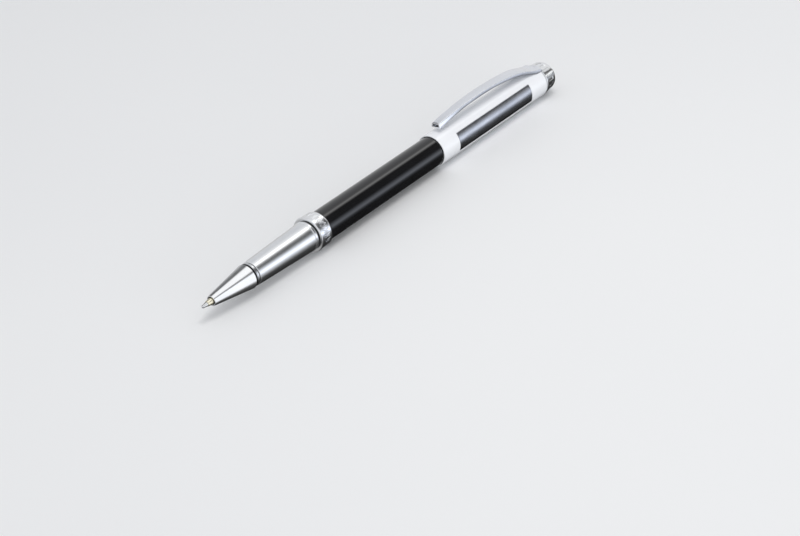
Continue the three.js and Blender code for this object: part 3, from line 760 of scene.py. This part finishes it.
shell = cut(cap_shell(), notch_cutter())
shell.data.set_sharp_from_angle(angle=math.radians(32))
shell.modifiers.new("normals", "WEIGHTED_NORMAL").keep_sharp = True
applied(shell)
piece(shell, WHITE, "cap", "white_lacquer", "cap_shell")


def panel(name, side):
    """An inlaid plate, which follows the cap's curve and has eased edges."""
    inset = 0.03
    lines = [PANEL_FRONT, PANEL_FRONT + inset, PANEL_FRONT + 2 * inset]
    lines += [PANEL_FRONT + (PANEL_REAR - PANEL_FRONT) * k / 8 for k in range(1, 8)]
    lines += [PANEL_REAR - 2 * inset, PANEL_REAR - inset, PANEL_REAR]
    turn = inset / CAP_RADIUS
    rounds = [PANEL_START, PANEL_START + turn, PANEL_START + 2 * turn]
    rounds += [PANEL_START + (PANEL_END - PANEL_START) * k / 28 for k in range(1, 28)]
    rounds += [PANEL_END - 2 * turn, PANEL_END - turn, PANEL_END]
    top, low = [], []
    for i, s in enumerate(lines):
        for j, a in enumerate(rounds):
            rim = min(i, j, len(lines) - 1 - i, len(rounds) - 1 - j)
            drop = (0.03, 0.008)[rim] if rim < 2 else 0.0
            top.append(at(s, CAP_RADIUS - drop, side * a))
            low.append(at(s, PANEL_UNDERSIDE, side * a))
    rows, cols = len(lines), len(rounds)
    faces = []
    n = rows * cols
    for i in range(rows - 1):
        for j in range(cols - 1):
            a, b = i * cols + j, i * cols + j + 1
            c, d = b + cols, a + cols
            faces.append((a, b, c, d))
            faces.append((a + n, d + n, c + n, b + n))
    border = [(i, 0) for i in range(rows - 1)] + [(rows - 1, j) for j in range(cols - 1)]
    border += [(i, cols - 1) for i in range(rows - 1, 0, -1)] + [(0, j) for j in range(cols - 1, 0, -1)]
    ids = [i * cols + j for i, j in border]
    for a, b in zip(ids, ids[1:] + ids[:1]):
        faces.append((a, b, b + n, a + n))
    obj = new_object(name, top + low, faces)
    turn_faces_out(obj)
    obj.data.set_sharp_from_angle(angle=math.radians(50))
    obj.modifiers.new("normals", "WEIGHTED_NORMAL").keep_sharp = True
    return applied(obj)


piece(panel("panel_right", 1), PANEL, "cap", "panel_metal", "cap_panel_right")
piece(panel("panel_left", -1), PANEL, "cap", "panel_metal", "cap_panel_left")

piece(lathe("cap_lining", [
    (111.6, 4.64), (142.5, 4.64), (142.5, 4.2), (114.7, 4.2), (114.7, 4.45), (113.3, 4.45), (113.3, 4.2),
    (111.6, 4.2, 0.15),
]), LINER, "cap", "liner_plastic", "cap_liner")


def split_ring():
    ring = lathe("grip_ring", [(113.4, 4.38), (114.6, 4.38), (114.6, 4.12), (113.4, 4.12)], fillet=0.06)
    corners = []
    for x in (113.0, 115.0):
        corners.append([(TIP_X + x * MM, y * MM, AXIS_Z + z * MM)
                        for y, z in ((-0.3, 3.0), (0.3, 3.0), (0.3, 5.0), (-0.3, 5.0))])
    return cut(ring, loft("split", corners))


piece(split_ring(), WIRE, "friction_ring", "spring_steel", "cap_friction_ring")

end_plug = lathe("cap_core", [
    (142.6, 4.64), (148.55, 4.64), (149.35, 3.74), (149.35, 1.27), (142.6, 1.27),
])
piece(cut(end_plug, notch_cutter()), BRASS, "cap", "brass", "cap_end_plug")

# ---------------------------------------------------------------- finial

piece(lathe("finial_pin", [(144.5, 0), (144.5, 1.05), (144.7, 1.25), (155.0, 1.25), (155.0, 0)],
            closed=False, sides=64), STEEL, "cap", "steel", "finial_stud")

FINIAL_WIDE = 5.0
FINIAL_SMALL = 4.5
FINIAL_SIDE_FRONT = 150.13
FINIAL_SIDE_REAR = 154.3
FINIAL_MARKS = 18
FINIAL_MARK_DEPTH = 0.09
FINIAL_FRONT = 150.9
FINIAL_REAR = 153.5


def finial_radius(station):
    """Radius of the finial's tapered side."""
    share = (FINIAL_SMALL - FINIAL_WIDE) * (station - FINIAL_SIDE_FRONT)
    return FINIAL_WIDE + share / (FINIAL_SIDE_REAR - FINIAL_SIDE_FRONT)


def finial_engraving(station, radius, angle):
    """A plain row of short bars, engraved round the finial's side."""
    if not FINIAL_FRONT < station < FINIAL_REAR or radius < 4:
        return radius
    turn = angle * FINIAL_MARKS / (2 * math.pi)
    u = (turn - round(turn)) * 2 * math.pi * finial_radius(station) / FINIAL_MARKS
    v = (station - (FINIAL_FRONT + FINIAL_REAR) / 2) / ((FINIAL_REAR - FINIAL_FRONT) / 2)
    mark = min(1 - abs(u) / 0.42, 1 - abs(v))
    return radius - FINIAL_MARK_DEPTH * smoothstep(mark, 0.0, 0.2)


side_run = [(s, finial_radius(s), 0) for s in np.linspace(150.8, 153.7, 44)]
collar = lathe("finial_collar", [
    (149.98, 4.9), (150.13, 5.0, 0.12), *side_run, (154.3, 4.5), (154.3, 1.27), (150.7, 1.27),
    (150.7, 4.35), (149.98, 4.35),
], field=finial_engraving, sides=432)
cut(collar, block("ear_slot", [(149.0, 0.0, 10.0, 3.0), (150.7, 0.0, 10.0, 3.0)]))
collar.data.set_sharp_from_angle(angle=math.radians(40))
piece(collar, FINIAL_CHROME, "cap", "finial_chrome", "finial_base")

piece(lathe("finial_top", [
    (155.1, 0), (155.1, 1.27), (154.35, 1.27), (154.35, 4.4), (154.62, 4.37, 0.2), (155.0, 4.2, 0.5),
    (155.4, 3.77, 0.6), (155.8, 2.88, 1.2), (156.08, 1.8, 3), (156.1, 0),
], closed=False, steps=8), FINIAL_CHROME, "cap", "finial_chrome", "finial_dome")

# ---------------------------------------------------------------- clip


def clip_section(station, top, channel):
    """Points round the clip's section: up one side, over its crowned top, down the other and back inside."""
    half = clip_half(station)
    bottom = clip_bottom(station, top)
    slope = clip_lean(station) / (top - bottom)
    corner = min(0.24, 0.45 * (top - bottom))
    shoulder = top - CLIP_CROWNING - corner
    side = [(-half - slope * (top - z), z) for z in (bottom, (bottom + shoulder) / 2, shoulder)]
    right = list(side)
    reach = -half + corner - side[-1][0]
    for k in range(1, 7):
        t = math.radians(90 * k / 6)
        right.append((side[-1][0] + reach * (1 - math.cos(t)), shoulder + corner * math.sin(t)))
    inner_edge = half - corner
    for k in range(1, 6):
        y = -inner_edge + inner_edge * k / 6
        right.append((y, top - CLIP_CROWNING * (y / inner_edge) ** 2))
    ring = right + [(0, top)] + [(-y, z) for y, z in reversed(right)]
    roof = bottom + (max(bottom + 0.02, top - CLIP_PLATE - CLIP_CROWNING / 2) - bottom) * channel
    low_wall = -side[0][0] - CLIP_PLATE
    wall = half + slope * (top - roof) - CLIP_PLATE
    inside = [(low_wall, bottom), (wall, roof - 0.12 * channel), (wall - 0.12, roof), (0, roof)]
    ring += inside + [(-y, z) for y, z in reversed(inside[:-1])]
    return [(TIP_X + station * MM, y * MM, AXIS_Z + z * MM) for y, z in ring]


def clip_lip(first, last):
    """The lip folded across the underside of the free end."""
    sections = []
    for p in (first, last):
        low = clip_bottom(p.x, p.y)
        sections.append((p.x, low, low + CLIP_LIP, clip_half(p.x) + clip_lean(p.x) - CLIP_PLATE / 2))
    return block("clip_lip", sections)


def clip_arm():
    sections = []
    line = clip_samples(96)
    for p in line:
        channel = 1 - smoothstep(p.x, CLIP_CHANNEL_REAR - 0.6, CLIP_CHANNEL_REAR)
        sections.append(clip_section(p.x, p.y, max(channel, 0.03)))
    arm = cut(loft("clip_bar", sections), clip_lip(line[0], line[5]), "UNION")
    soften(arm, 0.09, 3, 38)
    pad = lathe("clip_pad", [(0, 0), (0.0, 0.4, 0.2), (0.25, 0.62, 0.25), (2.5, 0.72), (2.5, 0)],
                closed=False, sides=40)
    turn = Matrix.Rotation(math.radians(-90), 4, "Y")
    here = Matrix.Translation(Vector(at(0, 0, 0)))
    there = Matrix.Translation(Vector(at(103.9, 0, 0)) + Vector((0, 0, 5.15 * MM)))
    pad.data.transform(there @ turn @ here.inverted())
    return cut(arm, pad, "UNION")


arm = clip_arm()
arm.data.set_sharp_from_angle(angle=math.radians(45))
piece(arm, CLIP_CHROME, "clip", "clip_chrome", "clip_arm")


def clip_ring():
    """The ring that the finial clamps, with the ear that carries the clip's root."""
    ring = lathe("clip_washer", [(149.95, 4.3), (150.65, 4.3), (150.65, 1.27), (149.95, 1.27)])
    ear = block("ear", [(149.95, 2.9, 5.0, 2.95), (150.65, 2.9, 5.0, 2.95)])
    round_ = lathe("round", [(149.0, 0), (149.0, 5.0), (151.0, 5.0), (151.0, 0)], closed=False)
    joined = cut(ring, cut(ear, round_, "INTERSECT"), "UNION")
    return soften(joined, 0.05, 2, 40)


piece(clip_ring(), CLIP_CHROME, "cap", "clip_chrome", "clip_ring")

# ---------------------------------------------------------------- floor, light and camera


def floor():
    span = 3.0
    cells = 12
    verts, faces = [], []
    for i in range(cells + 1):
        for j in range(cells + 1):
            verts.append((span * (i / cells - 0.5), span * (j / cells - 0.5), -0.03 * MM))
    for i in range(cells):
        for j in range(cells):
            a = i * (cells + 1) + j
            faces.append((a, a + cells + 1, a + cells + 2, a + 1))
    obj = new_object("studio_floor", verts, faces)
    n = Nodes("pale_floor")
    patches = n.noise(0.004, 0.004, 0.004, detail=2.0)
    tone = n.ramp(patches, [(0.3, (0.87, 0.875, 0.885)), (0.7, (0.89, 0.895, 0.90))])
    n.finish(Base_Color=tone, Roughness=0.6)
    obj.data.materials.append(n.material)
    obj.visible_glossy = False


floor()


def studio_world():
    """A light tent. Glossy surfaces see long soft panels that lie along the pen, with dark gaps between them.
    There are five sets of panels, one behind another along the tent. Their levels were set by
    brightness profiles, so that the reflections look as they do in the photograph, from its viewpoint."""
    world = bpy.data.worlds.new("studio")
    bpy.context.scene.world = world
    world.use_nodes = True
    tree = world.node_tree
    tree.nodes.clear()

    def node(kind, inputs=None, **settings):
        made = tree.nodes.new(kind)
        for key, value in settings.items():
            setattr(made, key, value)
        for key, value in (inputs or {}).items():
            if isinstance(value, bpy.types.NodeSocket):
                tree.links.new(value, made.inputs[key])
            else:
                made.inputs[key].default_value = value
        return made

    split = node("ShaderNodeSeparateXYZ", {0: node("ShaderNodeTexCoord").outputs["Generated"]}).outputs
    side = node("ShaderNodeMath", {0: split[1], 1: -1.0}, operation="MULTIPLY").outputs[0]
    angle = node("ShaderNodeMath", {0: side, 1: split[2]}, operation="ARCTAN2").outputs[0]
    share = node("ShaderNodeMapRange", {0: angle, 1: -math.pi, 2: math.pi, 3: 0.0, 4: 1.0}).outputs[0]

    def panels(stops):
        """Brightness round the pen, as (degrees, level, blueness)."""
        ramp = node("ShaderNodeValToRGB", {0: share})
        band = ramp.color_ramp
        while len(band.elements) < len(stops):
            band.elements.new(0.5)
        for element, (degrees, level, blue) in zip(band.elements, stops):
            element.position = (degrees + 180) / 360
            tints = (1 - 0.11 * blue, 1 - 0.05 * blue, 1 + 0.07 * blue)
            element.color = (*(level * tint for tint in tints), 1)
        return ramp.outputs[0]

    front = panels([
        (-180, 0.10, 0), (-128, 0.36, 0), (-112, 0.80, 0.2), (60, 0.90, 0.2), (100, 0.85, 0.2),
        (128, 0.30, 0), (150, 0.10, 0), (180, 0.10, 0),
    ])
    barrel = panels([
        (-180, 0.02, 0), (-138, 0.03, 0), (-122, 0.68, 0), (-60, 0.74, 0.2), (-20, 0.80, 0.2), (-10, 0.95, 0),
        (-4, 1.70, 0), (1, 2.40, 0), (6, 2.20, 0), (12, 1.00, 0), (19, 0.10, 0), (64, 0.12, 0.5),
        (74, 0.60, 1), (82, 1.20, 1), (91, 1.68, 1), (99, 1.65, 1), (106, 0.85, 1), (111, 0.50, 1),
        (118, 0.20, 1), (128, 0.06, 0), (180, 0.02, 0),
    ])
    grip = panels([
        (-180, 0.03, 0), (-138, 0.04, 0), (-122, 0.42, 0), (-94, 0.60, 0), (-67, 0.73, 0.3), (-33, 0.75, 0.3),
        (-19, 0.82, 0.2), (-6, 1.05, 0), (3, 1.60, 0), (15, 1.50, 0), (22, 0.80, 0), (28, 0.20, 0),
        (35, 0.12, 0), (52, 0.13, 0.5), (60, 0.30, 0.5), (66, 0.55, 0.6), (74, 1.05, 0.6), (84, 1.35, 0.6),
        (98, 1.30, 0.6), (108, 0.75, 0.6), (118, 0.45, 0.4), (130, 0.20, 0), (140, 0.06, 0), (180, 0.03, 0),
    ])
    nose = panels([
        (-180, 0.05, 0), (-134, 0.30, 0), (-124, 0.80, 0), (-100, 0.80, 0), (-90, 0.09, 0), (-32, 0.10, 0),
        (-17, 1.15, 0), (33, 1.20, 0), (42, 0.16, 0), (50, 0.18, 0), (58, 1.30, 0.3), (123, 1.20, 0.3),
        (133, 0.40, 0), (147, 0.10, 0), (180, 0.05, 0),
    ])
    finial = panels([
        (-180, 0.03, 0), (-138, 0.05, 0), (-122, 0.72, 0), (-60, 0.78, 0.2), (30, 0.80, 0), (39, 0.13, 0),
        (56, 0.11, 0), (63, 1.20, 0), (71, 1.20, 0), (80, 0.34, 0.5), (92, 0.34, 0.5), (100, 0.50, 0.5),
        (110, 0.28, 0), (118, 0.07, 0), (180, 0.03, 0),
    ])

    def blended(first, second, low, high):
        """One panorama where the view runs along the pen by less than low, and the other past high."""
        amount = node("ShaderNodeMapRange", {0: split[0], 1: low, 2: high, 3: 0.0, 4: 1.0}).outputs[0]
        mix = node("ShaderNodeMix", {0: amount}, data_type="RGBA")
        tree.links.new(first, mix.inputs[6])
        tree.links.new(second, mix.inputs[7])
        return mix.outputs[2]

    whole = blended(nose, grip, 0.44, 0.52)
    whole = blended(whole, barrel, 0.585, 0.625)
    whole = blended(whole, finial, 0.72, 0.80)
    whole = blended(front, whole, 0.05, 0.30)
    seen = node("ShaderNodeBackground", {0: whole, 1: 1.0}).outputs[0]
    tent = node("ShaderNodeBackground", {0: (0.96, 0.975, 1.0, 1), 1: 0.69}).outputs[0]
    path = node("ShaderNodeLightPath").outputs["Is Glossy Ray"]
    mix = node("ShaderNodeMixShader", {0: path, 1: tent, 2: seen}).outputs[0]
    node("ShaderNodeOutputWorld", {0: mix})


studio_world()


def area_light(name, place, target, size, power):
    lamp = bpy.data.lights.new(name, "AREA")
    lamp.shape = "RECTANGLE"
    lamp.size, lamp.size_y = size
    lamp.energy = power
    lamp.color = (1.0, 0.985, 0.96)
    obj = bpy.data.objects.new(name, lamp)
    bpy.context.scene.collection.objects.link(obj)
    obj.location = place
    obj.rotation_mode = "QUATERNION"
    obj.rotation_quaternion = (Vector(target) - Vector(place)).to_track_quat("-Z", "Y")
    obj.visible_glossy = False


area_light("key_light", (0.0, -0.14, 0.60), (0, 0, 0), (0.25, 0.25), 1.0)
area_light("front_light", (-0.10, -0.72, 0.09), (0.02, 0, 0), (0.6, 0.24), 1.15)


def camera():
    """Stands where the photograph was taken from, turned about the pen so that the clip is on top."""
    place = Vector((-396.554, -356.198, 291.92)) * MM
    target = Vector((-36.584, -33.538, 5.46)) * MM
    roll = math.radians(-6.38)
    back = (place - target).normalized()
    right = Vector((0, 0, 1)).cross(back).normalized()
    basis = Matrix((right, back.cross(right), back)).transposed()
    data = bpy.data.cameras.new("camera")
    data.lens = 95.404
    data.sensor_width = 36.0
    data.clip_start = 0.01
    data.clip_end = 10.0
    data.dof.use_dof = False
    obj = bpy.data.objects.new("camera", data)
    bpy.context.scene.collection.objects.link(obj)
    obj.matrix_world = Matrix.Translation(place) @ (basis @ Matrix.Rotation(roll, 3, "Z")).to_4x4()
    bpy.context.scene.camera = obj


camera()
bpy.context.scene.view_settings.view_transform = "Standard"
